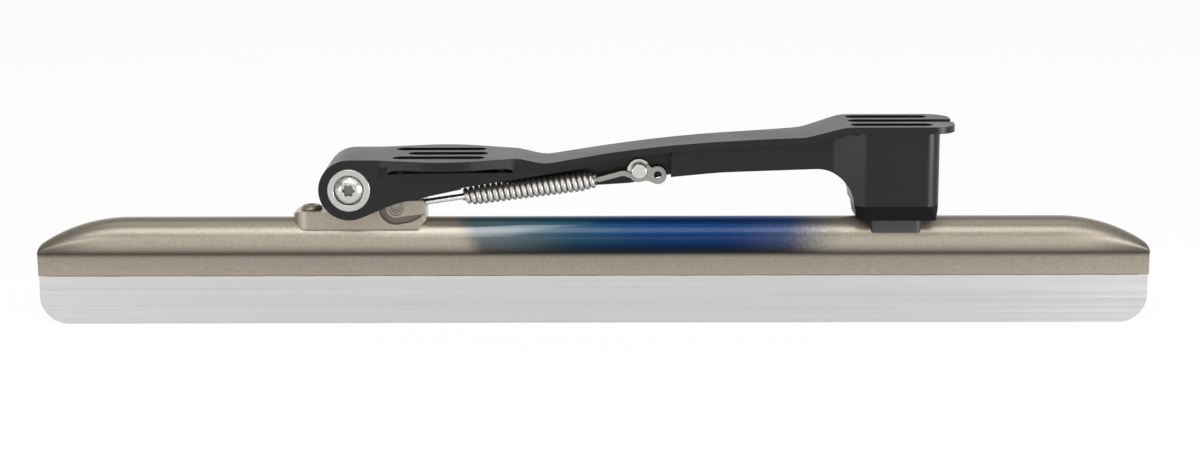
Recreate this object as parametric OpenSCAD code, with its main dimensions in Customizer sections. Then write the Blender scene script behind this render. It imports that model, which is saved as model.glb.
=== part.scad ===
// Clap skate blade: a steel runner in a tube, hung on a toe hinge under the bridge that carries the boot.
// Millimetres. +X runs to the heel, +Y to the skater's right, +Z up. The running edge lies on Z = 0.

/* [Blade] */
// Length of the blade
blade_len = 406; // [330:1:450]
// Thickness of the runner
runner_t = 1.1; // [0.9:0.1:1.6]
// Height of the runner below its holder
runner_h = 18; // [12:0.5:24]
// Depth of the runner inside its holder
runner_seat = 6.5; // [4:0.5:7.5]
// Radius of the runner's lower corners
runner_corner_r = 10.3; // [4:0.1:11.5]
// Height of the holder's legs below the tube
holder_h = 8; // [7.5:0.5:12]
// Thickness of one leg of the holder
leg_t = 1.1; // [0.8:0.1:1.6]
// Bevel along the lower edge of a leg
leg_bevel = 0.4; // [0.1:0.1:0.6]
// Outer radius of the tube
tube_r = 7; // [6:0.1:8.5]
// Wall of the tube
tube_wall = 1.2; // [0.8:0.1:2]
// Radius of the long curve over each end of the tube
nose_r = 58; // [48:1:90]
// Length of that curve along the blade
nose_run = 34; // [26:1:36]
// Radius of the round at each tip
tip_r = 4.5; // [2:0.5:6]

/* [Hinge] */
// Hinge axis ahead of the middle of the blade
hinge_ahead = 87.4; // [75:0.1:100]
// Hinge axis above the top of the tube
hinge_rise = 12.4; // [12:0.1:15]
// Radius of the bridge's knuckle
knuckle_r = 10.9; // [10.5:0.1:11.6]
// Width of the knuckle
knuckle_w = 30.8; // [29:0.1:36]
// Radius of the hinge axle
axle_r = 4; // [3.5:0.1:4.3]
// Wall of the hinge bushes
bush_wall = 1.5; // [1:0.1:1.8]
// Radius of the hinge lug
lug_r = 7.6; // [7.4:0.1:7.9]
// Thickness of a thrust washer
washer_t = 0.5; // [0.3:0.1:1]
// Outer radius of the collars in the cheeks
collar_r = 7.7; // [7.2:0.1:8.4]
// Depth of a collar in its cheek
collar_t = 4; // [3.4:0.1:5]
// Radius of the screw heads
head_r = 5.1; // [4.6:0.1:5.6]
// Height of a screw head
head_h = 2.5; // [2.2:0.1:3]
// Radius of the flat on top of a screw head
crown_r = 2.7; // [2.5:0.1:3.2]
// Height of the domed part of a screw head
dome_h = 1.5; // [1:0.1:1.8]
// Depth of the six-lobe socket
socket_h = 1.9; // [1.4:0.1:2]
// Thread radius of the axle screws
screw_r = 2.5; // [2:0.1:3]
// Length of a screw below its head
screw_len = 10; // [6:0.5:11]
// Width of the six-lobe socket
socket_w = 4.6; // [3.6:0.1:5]

/* [Hinge base] */
// Width of the base on the tube
base_w = 14.4; // [14.2:0.1:15.5]
// Length of the base ahead of the hinge
base_front = 21.6; // [20:0.1:26]
// Length of the base behind the hinge
base_back = 26.9; // [25:0.1:30]
// Lower edge of the base below the top of the tube
base_skirt = 3.4; // [2:0.1:4.5]
// Top of the base above the top of the tube
base_rise = 3; // [2.6:0.1:3.3]
// Top of the spring fork above the top of the tube
fork_rise = 7; // [6.4:0.1:7.6]
// Radius of the base screw's head
base_head_r = 3.8; // [3.2:0.1:4.2]
// Height of the base screw's head
base_head_h = 1.5; // [1.2:0.1:1.8]
// Thread radius of the base screw
base_screw_r = 2; // [1.6:0.1:2.4]

/* [Bridge] */
// Thickness of the boot plates and of the neck's flange
deck_t = 2.5; // [2:0.1:3]
// Height of the heel plate above the toe plate
heel_rise = 11.7; // [10:0.1:13]
// Half width of the toe plate at its widest
toe_half = 20.4; // [19.6:0.1:23]
// Half width of the neck's flange
neck_half = 9.8; // [9:0.1:12]
// Half width of the web under the neck
web_half = 7.8; // [7:0.1:8.6]
// Half width of the heel plate
heel_half = 16.2; // [15.6:0.1:19]
// Half width of the heel post
post_half = 14.4; // [14.2:0.1:15]
// Wall of the heel post
post_wall = 1.4; // [1:0.1:1.45]
// Distance from the middle of the toe slots to the middle of the heel slots
mount_span = 162.3; // [160:0.1:165]
// Width of a boot slot
slot_w = 6.2; // [5.2:0.1:6.6]
// Sideways distance between the boot slots
slot_pitch = 9.8; // [9.4:0.1:10]
// Length of a toe side slot
toe_slot_len = 33; // [26:0.5:34]
// Length of a heel side slot
heel_slot_len = 29.5; // [22:0.5:30]
// Thickness of the toe plate over the nut chamber
toe_t = 3.3; // [2.8:0.1:3.6]
// Height of the nut chamber under the toe plate
chamber_h = 2; // [1.6:0.1:2.4]

/* [Heel stop] */
// Length of the stop on the tube
stop_len = 18.2; // [12:0.1:20]
// Top of the stop above the tube
stop_rise = 2; // [1.4:0.1:2.6]
// Lower edge of the stop below the top of the tube
stop_skirt = 4.8; // [3:0.1:5.5]
// Thickness of the stop beside the tube
stop_wall = 0.7; // [0.5:0.1:1.2]
// Gap between the heel bumper and the tube
bumper_gap = 0.6; // [0.4:0.1:1]
// Draw-in of the bumper's sides over its height
bumper_taper = 1; // [0.5:0.1:1.5]
// Length of the bumper's spigot inside the post
spigot_len = 4; // [2:0.5:8]

/* [Spring] */
// Wire of the spring
wire_d = 1.5; // [1.2:0.05:1.55]
// Mean radius of the coil
coil_r = 2.85; // [2.6:0.05:3]
// Mean radius of the drawn-in end turns
coil_end_r = 2; // [1.95:0.05:2.1]
// Distance from one turn to the next
coil_pitch = 2; // [1.98:0.01:2.1]
// Number of turns
coil_turns = 23; // [18:1:24]
// Distance of the coil from the anchor pin
coil_start = 25; // [24.5:0.1:27]
// Sideways place of the spring, towards the skater's left
spring_side = 3.6; // [3.4:0.1:3.7]
// Radius of the drawbar
rod_r = 1.1; // [0.9:0.05:1.15]
// Radius of the anchor pin
anchor_r = 1.75; // [1.4:0.05:1.9]
// Thickness of the hook
hook_t = 1.6; // [1.2:0.1:1.7]
// Width of the hook's shank
shank_w = 2.1; // [1.6:0.1:2.6]
// Width of the hook's tail inside the coil
tail_w = 1.4; // [1:0.1:1.5]
// Radius of the spring pin where the hook sits
seat_r = 2.3; // [2:0.1:2.5]
// Radius of the pull tab
tab_r = 3.3; // [2.8:0.1:3.6]
// Radius of the hole in the pull tab
tab_hole_r = 1.4; // [1:0.1:1.6]

/* [Hidden] */
$fn = 64;
far = 60;
fit = 0.05;
seat_gap = 0.05;
joint_gap = 0.3;
left = -1;
right = 1;

// Blade heights
half_len = blade_len / 2;
leg_half = runner_t / 2 + leg_t;
groove_z = runner_h + holder_h;
tube_z = groove_z + sqrt(pow(tube_r, 2) - pow(leg_half, 2));
tube_top = tube_z + tube_r;
nose_z = tube_top - nose_r;
nose_x = half_len - nose_run;
tip_x = half_len - tip_r;
tip_z = nose_z + sqrt(pow(nose_r - tip_r, 2) - pow(tip_x - nose_x, 2));

// Hinge
hinge_x = -hinge_ahead;
hinge_z = tube_top + hinge_rise;
cheek_y = knuckle_w / 2;
base_half = base_w / 2;
fork_half = base_half + washer_t + 2 * fit;
bush_r = axle_r + bush_wall;
collar_y = cheek_y - collar_t;
collar_lip = 0.3;
head_z = cheek_y - 1.6;
axle_half = collar_y;
base_top = base_rise - hinge_rise;
base_low = -base_skirt - hinge_rise;
fork_top = fork_rise - hinge_rise;
base_bevel = 3.3;
lug_slope = 1.6;
base_nose_r = 6.2;
base_screw_x = hinge_x - 15.1;
base_socket_r = 1.45;
base_socket_h = 1;
fork_bevel = 1.1;
groove_r = 6.3;
groove_depth = 1.7;
tongue_r = 3.7;
anchor_sink_r = 3;
anchor_sink = 0.6;

// Boot plates, measured from the hinge axis
deck_top = knuckle_r;
heel_top = deck_top + heel_rise;
toe_slot_x = 31.9;
heel_slot_x = toe_slot_x + mount_span;
heel_slot_start = heel_slot_x - heel_slot_len / 2;
heel_end = heel_slot_x + heel_slot_len / 2 + 8.1;
post_front = heel_slot_x - 14;
post_back = heel_end - 5.4;
post_low = -6.5;
lower_slope = 22.5;
dip = [69.9, deck_top - 2.2];
neck_peak = [109.4, deck_top + 4.5];
step_foot = [heel_slot_start - 16.1, heel_top - 4.2];
step_head = [heel_slot_start - 1.6, heel_top];
chamber_top = deck_top - toe_t;
chamber_low = chamber_top - chamber_h;
chamber_start = toe_slot_x - toe_slot_len / 2 - 1.5;
chamber_end = toe_slot_x + toe_slot_len / 2 + 10.7;
chamber_round = 4.3;
chamber_rib = [4.2, 5.3];
flat_drop = 1.2;
flat_depth = 0.8;

// Spring line, measured from the hinge axis
anchor = [16.1, -7.8];
pin = [104, 5];
spring_y = -spring_side;
spring_angle = atan2(pin[1] - anchor[1], pin[0] - anchor[0]);
spring_len = norm(pin - anchor);
coil_len = coil_turns * coil_pitch;
coil_end = coil_start + coil_len;
coil_outer = coil_r + wire_d / 2;
coil_inner_end = coil_end_r - wire_d / 2;
rod_slot_w = 2 * rod_r + 0.5;
hook_gap = 0.15;
hook_seat_r = seat_r + 0.15;
hook_band_r = hook_seat_r + 1.6;
hook_join = [-2.9, -1.6];
hook_tab = [6.4, -2.5];
hook_near = spring_y - hook_t / 2;
hook_far = spring_y + hook_t / 2;
flange_y = hook_far + hook_gap;
flange_t = 1.2;
recess_y = flange_y + flange_t;
pocket_y = spring_y + coil_outer + 0.5;
recess_back = 11.4;
pad_r = 2.3;
stud_r = 2;

// Heel stop and bumper
stop_x = heel_slot_x + hinge_x + 2.7;
stop_half = tube_r + stop_wall;
bumper_low = tube_top + bumper_gap;
post_low_z = hinge_z + post_low;

// Points along the fillet at corner b, between neighbours a and c
function unit(v) = v / norm(v);
function fillet(a, b, c, r) =
    let (u = unit(a - b))
    let (v = unit(c - b))
    let (half = acos(u * v) / 2)
    let (turn = 180 - 2 * half)
    let (middle = b + unit(u + v) * r / sin(half))
    let (start = b + u * r / tan(half) - middle)
    let (side = sign(u[0] * v[1] - u[1] * v[0]))
    let (steps = max(2, ceil(turn / 8), ceil(r * turn / 400)))
    [for (i = [0:steps]) middle + turned(start, -side * turn * i / steps)];
function turned(v, a) = [v[0] * cos(a) - v[1] * sin(a), v[0] * sin(a) + v[1] * cos(a)];
function flat(p) = [p[0], p[1]];
// Outline through corners [x, y, radius]; radius 0 keeps the corner sharp
function rounded(corners) =
    let (n = len(corners))
    [for (i = [0:n - 1])
        each corners[i][2] == 0 ? [flat(corners[i])]
            : fillet(flat(corners[(i + n - 1) % n]), flat(corners[i]), flat(corners[(i + 1) % n]), corners[i][2])];
function lowered(path, by) = [for (p = path) [p[0], p[1] - by]];
function backwards(path) = [for (i = [len(path) - 1:-1:0]) path[i]];

// Extrude an X-Z drawing from y0 to y1
module slab(y0, y1) {
    translate([0, y1, 0]) rotate([90, 0, 0]) linear_extrude(y1 - y0) children();
}
// Extrude a Y-Z drawing from x0 to x1
module bar(x0, x1) {
    translate([x0, 0, 0]) rotate([90, 0, 90]) linear_extrude(x1 - x0) children();
}
// Extrude an X-Y drawing from z0 to z1
module rise(z0, z1) {
    translate([0, 0, z0]) linear_extrude(z1 - z0) children();
}
module pin_y(at, r, y0, y1) {
    translate([at[0], y0, at[1]]) rotate([-90, 0, 0]) cylinder(r = r, h = y1 - y0);
}
// Half outline mirrored about the X axis
module both_sides(path) {
    polygon(concat(path, backwards([for (p = path) [p[0], -p[1]]])));
}
module at_hinge() {
    translate([hinge_x, 0, hinge_z]) children();
}
// Turn the X axis onto the spring line, with the anchor pin as origin
module at_spring() {
    at_hinge() translate([anchor[0], spring_y, anchor[1]]) rotate([0, -spring_angle, 0]) children();
}
// Turn the Z axis outwards from the hinge, to one side
module at_cheek(side) {
    at_hinge() rotate([side * -90, 0, 0]) children();
}
module lower_corner(x_side) {
    translate([x_side * (half_len - runner_corner_r), runner_corner_r]) difference() {
        translate([x_side > 0 ? 0 : -2 * runner_corner_r, -2 * runner_corner_r]) square(2 * runner_corner_r);
        circle(runner_corner_r);
    }
}

module runner() {
    color("gainsboro") slab(-runner_t / 2, runner_t / 2) difference() {
        translate([-half_len, 0]) square([blade_len, runner_h + runner_seat]);
        for (side = [left, right]) lower_corner(side);
    }
}

// Side view of the tube and holder, with the long nose curve and the round tip at each end
module holder_side() {
    difference() {
        translate([-half_len, runner_h]) square([blade_len, tube_top - runner_h]);
        for (side = [0, 1]) mirror([side, 0]) {
            difference() {
                translate([nose_x, nose_z + nose_r / 2]) square([2 * nose_run, nose_r]);
                translate([nose_x, nose_z]) circle(nose_r);
            }
            difference() {
                polygon([[tip_x, tip_z], [tip_x + nose_r, tip_z],
                    [tip_x, tip_z] + nose_r * unit([tip_x - nose_x, tip_z - nose_z])]);
                translate([tip_x, tip_z]) circle(tip_r);
            }
        }
    }
}

module holder_section() {
    translate([0, tube_z]) circle(tube_r);
    polygon([[-leg_half + leg_bevel, runner_h], [leg_half - leg_bevel, runner_h],
        [leg_half, runner_h + leg_bevel], [leg_half, groove_z + tube_r / 2],
        [-leg_half, groove_z + tube_r / 2], [-leg_half, runner_h + leg_bevel]]);
}

module blade_tube() {
    color("tan") difference() {
        intersection() {
            slab(-far, far) holder_side();
            bar(-half_len, half_len) holder_section();
        }
        slab(-runner_t / 2 - fit, runner_t / 2 + fit) translate([-half_len - 1, runner_h - 1])
            square([blade_len + 2, runner_seat + 1 + fit]);
        translate([-nose_x, 0, tube_z]) rotate([0, 90, 0]) cylinder(r = tube_r - tube_wall, h = 2 * nose_x);
        translate([base_screw_x, 0, tube_z]) cylinder(r = base_screw_r + fit, h = 2 * tube_r);
    }
}

// Side view of the base: saddle, hinge lug and spring fork
module base_side() {
    polygon(rounded([
        [-base_front, base_top - 2.1, 0], [-base_front + 0.5, base_top - 0.9, 1], [-base_front + 2.5, base_top, 2],
        [-lug_r + 3.8, base_top, 2],
        [-lug_r + 3.8, 0, 0], [lug_r - 0.6, 0, 0], [lug_r + lug_slope, fork_top, 2],
        [base_back - fork_bevel, fork_top, 0], [base_back, fork_top - fork_bevel, 0],
        [base_back, base_low + base_bevel, 0], [base_back - base_bevel, base_low, 0],
        [-base_front, base_low, 0]]));
}

module base_plan() {
    both_sides(rounded([[-base_front, 0, 0], [-base_front, base_half, base_nose_r],
        [base_back - fork_bevel, base_half, 0], [base_back, base_half - fork_bevel, 0], [base_back, 0, 0]]));
}

// Crescent groove round the anchor pin, running out to the rear, on the near side of the spring fork
module fork_groove() {
    rear = base_back + 1 - anchor[0];
    y0 = -base_half - 1;
    y1 = -base_half + groove_depth;
    translate([anchor[0], 0, anchor[1]]) difference() {
        union() {
            pin_y([0, 0], groove_r, y0, y1);
            slab(y0, y1) polygon([[-1, -groove_r + 0.1], [1.6, -6.05], [4, -5.7], [6.2, -5.1], [8.3, -4], [10, -2.6],
                [rear, -1.9], [rear, 0], [-1, 0]]);
        }
        pin_y([0, 0], tongue_r, -far, far);
        slab(-far, far) polygon([[-0.6, -tongue_r + 0.1], [rear + 1, -2], [rear + 1, far], [-groove_r - 1, far],
            [-groove_r - 1, 3], [-3, 1.5]]);
    }
}

module hinge_base() {
    color("tan") difference() {
        at_hinge() difference() {
            union() {
                intersection() {
                    slab(-base_half, base_half) base_side();
                    rise(-far, far) base_plan();
                }
                pin_y([0, 0], lug_r, -base_half, base_half);
            }
            pin_y([0, 0], bush_r + fit, -far, far);
            fork_groove();
            pin_y(anchor, anchor_sink_r, -far, -base_half + anchor_sink);
            pin_y(anchor, anchor_r + fit, -far, 1);
            slab(spring_y - rod_slot_w / 2, spring_y + rod_slot_w / 2) {
                translate(anchor) circle(3.6);
                translate(anchor + [-3.6, 0]) square([far, far]);
                translate(anchor) rotate(spring_angle) translate([0, -rod_r - 0.5]) square([far, far]);
            }
        }
        translate([-far * 4, 0, tube_z]) rotate([0, 90, 0]) cylinder(r = tube_r + seat_gap, h = far * 8);
        translate([base_screw_x, 0, tube_z]) cylinder(r = base_screw_r + fit, h = 2 * tube_r);
    }
}

// Button head screw through the front of the base into the tube's wall
module base_screw() {
    seat = tube_top + base_rise + fit;
    crown = seat + base_head_h;
    tip = tube_top - 2 * tube_wall;
    color("silver") translate([base_screw_x, 0, 0]) difference() {
        rotate_extrude() polygon([[0, tip], [base_screw_r, tip], [base_screw_r, seat], [base_head_r, seat],
            [base_head_r, seat + base_head_h / 3], [base_head_r * 0.88, crown - base_head_h / 4],
            [base_head_r * 0.65, crown], [0, crown]]);
        translate([0, 0, crown - base_socket_h]) cylinder(r = base_socket_r, h = base_head_h, $fn = 6);
    }
}

module anchor_pin() {
    color("silver") at_hinge() difference() {
        pin_y(anchor, anchor_r, -base_half + anchor_sink + 0.5, 0.9);
        pin_y(anchor, anchor_r - 0.6, -base_half, -base_half + anchor_sink + 1.1);
    }
}

module rear_stop() {
    color("dimgray") difference() {
        translate([stop_x, 0]) intersection() {
            rise(tube_top - stop_skirt, tube_top + stop_rise)
                both_sides(rounded([[-stop_len / 2, 0, 0], [-stop_len / 2, stop_half, 2],
                    [stop_len / 2, stop_half, 2], [stop_len / 2, 0, 0]]));
            bar(-far, far) translate([-stop_half, tube_top - stop_skirt])
                square([2 * stop_half, stop_skirt + stop_rise]);
        }
        translate([-far, 0, tube_z]) rotate([0, 90, 0]) cylinder(r = tube_r + seat_gap, h = far * 4);
    }
}

module hinge_bush(side) {
    color("goldenrod") at_cheek(side) translate([0, 0, 0.2]) difference() {
        cylinder(r = bush_r, h = base_half - 0.2);
        translate([0, 0, -1]) cylinder(r = axle_r + fit, h = base_half + 2);
    }
}

module thrust_washer(side) {
    color("goldenrod") at_cheek(side) translate([0, 0, base_half + fit]) difference() {
        cylinder(r = lug_r - 0.3, h = washer_t);
        translate([0, 0, -1]) cylinder(r = axle_r + fit, h = washer_t + 2);
    }
}

// Top line of the bridge from the hinge to the heel end
function top_path() = rounded([[0, deck_top, 0], [dip[0] - 9.5, deck_top, 12], [dip[0], dip[1], 16],
    [neck_peak[0], neck_peak[1], 500], [step_foot[0], step_foot[1], 18], [step_head[0], step_head[1], 18],
    [heel_end, heel_top, 0], [heel_end, 0, 0], [0, 0, 0]]);
function deck_line() = [for (p = top_path()) if (p[1] > 0) p];

module deck_side() {
    polygon(concat(deck_line(), backwards(lowered(deck_line(), deck_t))));
}

// Plan of the boot plates and the flange between them
module deck_plan() {
    both_sides(rounded([[0, 0, 0], [0, cheek_y, 0], [10.4, cheek_y, 12], [35.4, toe_half + 1.9, 30],
        [60.4, neck_half + 1.8, 15], [95, neck_half, 200], [step_foot[0] - 8, neck_half + 1.7, 120],
        [step_head[0] + 1, heel_half, 22], [heel_end, heel_half, 8.5], [heel_end, 0, 0]]));
}

// Side view of the walls and web under the flange, and of the heel post
module body_side() {
    knuckle_tangent = knuckle_r * [sin(lower_slope), -cos(lower_slope)];
    polygon(concat(lowered(deck_line(), deck_t / 2), backwards(rounded([
        [0, 0, 0], [knuckle_tangent[0], knuckle_tangent[1], 0], [15.7, -5.3, 25], [43.4, 0.4, 20],
        [86, -1.1, 30], [101, -0.2, 14], [115, 3.3, 20], [133, 5, 150], [post_front, heel_top - 16, 13],
        [post_front + 0.8, post_low, 0], [post_back, post_low, 0], [post_back, heel_top - deck_t / 2, 0]]))));
}

module body_plan() {
    both_sides(rounded([[0, 0, 0], [0, cheek_y, 0], [10.4, cheek_y, 6], [20, 13.4, 12], [60, neck_half + 1, 20],
        [84, web_half, 20], [post_front - 7, web_half, 6], [post_front + 5, post_half, 4],
        [post_back, post_half, 5.5], [post_back, 0, 0]]));
}

// Open space beside and above the spring, up to the flange
module spring_pocket() {
    ceiling = pin + coil_outer * [-1.6, 1.05];
    slab(-far, pocket_y) {
        polygon(rounded([[40, -far, 0], [40, 0.2, 0], [ceiling[0], ceiling[1], 5],
            [ceiling[0] + 5, ceiling[1] - 7.5, 3], [ceiling[0] + 5, -far, 0]]));
    }
    slab(-far, recess_y) polygon(rounded([[pin[0] - 12, -far, 0], [pin[0] - 12, far, 0],
        [pin[0] + recess_back, far, 0], [pin[0] + recess_back, -far, 0]]));
    translate([pin[0] + recess_back, 0, neck_peak[1] - deck_t - pad_r]) difference() {
        slab(-far, recess_y) translate([-1, 0]) square([pad_r + 1, far]);
        pin_y([pad_r, 0], pad_r, -far, far);
    }
}

// Chamber for the boot nuts, open to both sides under the toe plate; a rib parts the far slot from the others
module nut_chamber() {
    rise(chamber_low, chamber_top) {
        translate([chamber_start + 7, -far]) square([chamber_end - chamber_start - 14, far + chamber_rib[0]]);
        for (side = [0, 1]) mirror([0, side]) polygon(rounded([[chamber_start, far, 0],
            [chamber_start, chamber_rib[1], 8], [chamber_end, chamber_rib[1], 8], [chamber_end, far, 0]]));
    }
    rise(chamber_low - flat_drop, chamber_top) for (side = [0, 1]) mirror([0, side])
        translate([chamber_start - 2.5, cheek_y - flat_depth]) square([chamber_end - chamber_start, far]);
}

// Extra thickness of the toe plate over the chamber
module toe_lobe() {
    intersection() {
        rise(chamber_top, deck_top - deck_t / 2) deck_plan();
        slab(-far, far) translate([chamber_start, 0]) square([chamber_end - chamber_start, far]);
    }
}

// Rounded upper corner at one end of the chamber's side openings, kept clear of the boot nuts
module chamber_corner(x, inward, clear) {
    difference() {
        intersection() {
            rise(chamber_low, chamber_top + deck_t / 2) deck_plan();
            slab(-far, far) translate([inward > 0 ? x : x - chamber_round, chamber_low])
                square([chamber_round, chamber_h + deck_t / 2]);
        }
        slab(-far, far) translate([x + inward * chamber_round, chamber_low])
            scale([chamber_round / chamber_h, 1]) circle(chamber_h);
        slab(-clear, clear) translate([x - far / 2, -far]) square([far, 2 * far]);
    }
}

module slot(x0, x1, y) {
    translate([x0 + slot_w / 2, y]) circle(slot_w / 2);
    translate([x1 - slot_w / 2, y]) circle(slot_w / 2);
    translate([x0 + slot_w / 2, y - slot_w / 2]) square([x1 - x0 - slot_w, slot_w]);
}

module boot_slots() {
    toe_start = toe_slot_x - toe_slot_len / 2;
    heel_start = heel_slot_x - heel_slot_len / 2;
    rise(chamber_top - 1, far) {
        for (side = [left, right]) slot(toe_start, toe_start + toe_slot_len, side * slot_pitch);
        slot(toe_start + 5, toe_start + toe_slot_len + 0.9, 0);
    }
    rise(heel_top - deck_t - 1, far) {
        for (side = [left, right]) slot(heel_start, heel_start + heel_slot_len, side * slot_pitch);
        slot(heel_start, heel_end + slot_w, 0);
    }
}

// Hollow of the heel post, with room for the nuts under the heel slots
module post_plan(inset) {
    both_sides(rounded([[post_front + 1 + inset, 0, 0], [post_front + 1 + inset, web_half, 0],
        [post_front + 5 + inset, post_half - inset, 3], [post_back - inset, post_half - inset, 4],
        [post_back - inset, 0, 0]]));
}
module post_hollow() {
    rise(post_low - 1, heel_top - deck_t) post_plan(post_wall);
    rise(heel_top - deck_t - 5, heel_top - deck_t) translate([heel_slot_start - 0.6, -slot_w / 2 - 0.4])
        square([10, slot_w + 0.8]);
}

// Room for the hinge lug and the base between the cheeks, over the whole swing
module lug_slot() {
    slab(-fork_half, fork_half) {
        circle(lug_r + 0.5);
        translate([-far, -far]) square([far + lug_r + lug_slope + 0.7, far]);
        translate([-far, -far]) square([far + base_back + 1.5, far + fork_top + 0.9]);
    }
}

module bridge() {
    color([0.12, 0.12, 0.12]) at_hinge() difference() {
        union() {
            intersection() {
                slab(-far, far) deck_side();
                rise(-far, far) deck_plan();
            }
            difference() {
                intersection() {
                    slab(-far, far) body_side();
                    rise(-far, far) body_plan();
                }
                spring_pocket();
                nut_chamber();
                post_hollow();
            }
            toe_lobe();
            chamber_corner(chamber_start, 1, slot_pitch + slot_w / 2 + 0.3);
            chamber_corner(chamber_end, -1, slot_pitch);
            pin_y([0, 0], knuckle_r, -cheek_y, cheek_y);
        }
        lug_slot();
        boot_slots();
        pin_y([0, 0], axle_r + fit, -far, far);
        for (side = [left, right]) rotate([side * -90, 0, 0]) translate([0, 0, collar_y])
            cylinder(r = collar_r + fit, h = far);
        pin_y(pin, stud_r + fit, -far, recess_y + 5 + fit);
    }
}

module hinge_axle() {
    color("silver") at_hinge() difference() {
        pin_y([0, 0], axle_r, -axle_half, axle_half);
        for (side = [left, right]) rotate([side * -90, 0, 0])
            translate([0, 0, axle_half - screw_len]) cylinder(r = screw_r + fit, h = far);
    }
}

module axle_collar(side) {
    bore = screw_r + 4 * fit;
    pocket = head_r + 0.25;
    color("gainsboro") at_cheek(side) rotate_extrude()
        polygon([[bore, collar_y + fit], [collar_r, collar_y + fit], [collar_r, cheek_y + fit],
            [collar_r - collar_lip, cheek_y + fit + collar_lip], [pocket + collar_lip, cheek_y + fit + collar_lip],
            [pocket, cheek_y + fit], [pocket, head_z], [bore, head_z]]);
}

// Button head screw with a flat crown and a six-lobe socket
module axle_screw(side) {
    foot = head_z + fit;
    top = foot + head_h;
    dome_z = (pow(head_r, 2) - pow(crown_r, 2) + pow(dome_h, 2)) / (2 * dome_h);
    color("silver") at_cheek(side) difference() {
        union() {
            intersection() {
                translate([0, 0, foot]) cylinder(r = head_r, h = head_h);
                translate([0, 0, top - dome_z]) sphere(norm([crown_r, dome_z]));
            }
            translate([0, 0, foot - screw_len]) cylinder(r = screw_r, h = screw_len + head_h / 2);
        }
        translate([0, 0, top - socket_h]) {
            cylinder(r = socket_w * 0.36, h = head_h);
            for (i = [0:5]) rotate(i * 60) translate([socket_w * 0.34, 0]) cylinder(r = socket_w * 0.15, h = head_h);
        }
    }
}

// Rubber cap on the heel post, with a recess that drops over the stop
module heel_bumper() {
    low = bumper_low - hinge_z;
    inset = 0.2;
    x0 = post_front + 1 + inset;
    x1 = post_back - inset;
    y1 = post_half - inset;
    color([0.1, 0.1, 0.1]) difference() {
        at_hinge() union() {
            intersection() {
                rise(low, post_low - fit) post_plan(inset);
                slab(-far, far) polygon([[x0, post_low], [x1, post_low], [x1 - bumper_taper, low],
                    [x0 + bumper_taper, low]]);
                bar(0, heel_end) polygon([[-y1, post_low], [y1, post_low], [y1 - bumper_taper, low],
                    [-y1 + bumper_taper, low]]);
            }
            rise(post_low - 1, post_low + spigot_len) post_plan(post_wall + 0.15);
        }
        translate([stop_x, 0, 0]) rise(bumper_low - 1, tube_top + stop_rise + joint_gap)
            square([stop_len + 1, 2 * stop_half + 0.8], center = true);
    }
}

module spring_pin() {
    color("silver") at_hinge() translate([pin[0], 0, pin[1]]) rotate([-90, 0, 0]) rotate_extrude()
        polygon([[0, hook_near - hook_gap - 1], [2.5, hook_near - hook_gap - 1], [2.85, hook_near - hook_gap - 0.7],
            [2.85, hook_near - hook_gap], [seat_r, hook_near - hook_gap], [seat_r, flange_y],
            [4.1, flange_y], [4.4, flange_y + 0.3], [4.4, recess_y - fit], [stud_r, recess_y - fit],
            [stud_r, recess_y + 5], [0, recess_y + 5]]);
}

// Drawbar with an eye round the anchor pin and a bead inside the coil
module spring_rod() {
    bead_x = coil_start + 3 * coil_pitch;
    color("silver") at_spring() {
        difference() {
            union() {
                rotate([90, 0, 0]) cylinder(r = anchor_r + 1.2, h = 2 * rod_r, center = true);
                rotate([0, 90, 0]) cylinder(r = rod_r, h = bead_x);
            }
            rotate([90, 0, 0]) cylinder(r = anchor_r + fit, h = far, center = true);
        }
        translate([bead_x - 0.6, 0, 0]) rotate([0, 90, 0]) rotate_extrude()
            polygon([[0, 0], [rod_r, 0], [coil_inner_end + 0.5, 1], [coil_inner_end + 0.5, 2], [0, 2.6]]);
    }
}

// Centre line of the spring: a drawn-in turn at each end, which runs out straight along the last turn
coil_rings = 8;
coil_sides = 6;
function coil_radius(turn) =
    let (from_end = min(turn, coil_turns - turn))
    coil_end_r + (coil_r - coil_end_r) * min(1, max(0, from_end - 0.5) / 1);
function coil_point(turn) =
    let (r = coil_radius(turn))
    [coil_start + turn * coil_pitch, r * cos(360 * turn), r * sin(360 * turn)];
function coil_heading(turn) = unit(coil_point(turn + 0.01) - coil_point(turn - 0.01));
function coil_centres() = concat(
    [coil_point(0) - wire_d * coil_heading(0.01)],
    [for (i = [0:coil_turns * coil_rings]) coil_point(i / coil_rings)],
    [coil_point(coil_turns) + wire_d * coil_heading(coil_turns - 0.01)]);
function ring_at(centre, heading) =
    let (out = unit(cross(heading, [1, 0, 0])))
    let (up = cross(out, heading))
    [for (s = [0:coil_sides - 1])
        centre + wire_d / 2 * (cos(360 * s / coil_sides) * out + sin(360 * s / coil_sides) * up)];
function heading_at(centres, i) =
    unit(centres[min(i + 1, len(centres) - 1)] - centres[max(i - 1, 0)]);

module spring_coil() {
    centres = coil_centres();
    n = len(centres);
    points = [for (i = [0:n - 1]) each ring_at(centres[i], heading_at(centres, i))];
    walls = [for (i = [0:n - 2]) for (s = [0:coil_sides - 1])
        let (a = i * coil_sides + s)
        let (b = i * coil_sides + (s + 1) % coil_sides)
        each [[a, b, b + coil_sides], [a, b + coil_sides, a + coil_sides]]];
    caps = [for (s = [1:coil_sides - 2])
        each [[0, s + 1, s], [(n - 1) * coil_sides, (n - 1) * coil_sides + s, (n - 1) * coil_sides + s + 1]]];
    gaps = [for (i = [0:n - 1]) for (j = [i + 5:n - 1]) norm(centres[i] - centres[j])];
    echo(coil_least_gap = min(gaps) - wire_d);
    color("silver") at_spring() polyhedron(points, concat(walls, caps));
}

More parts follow.
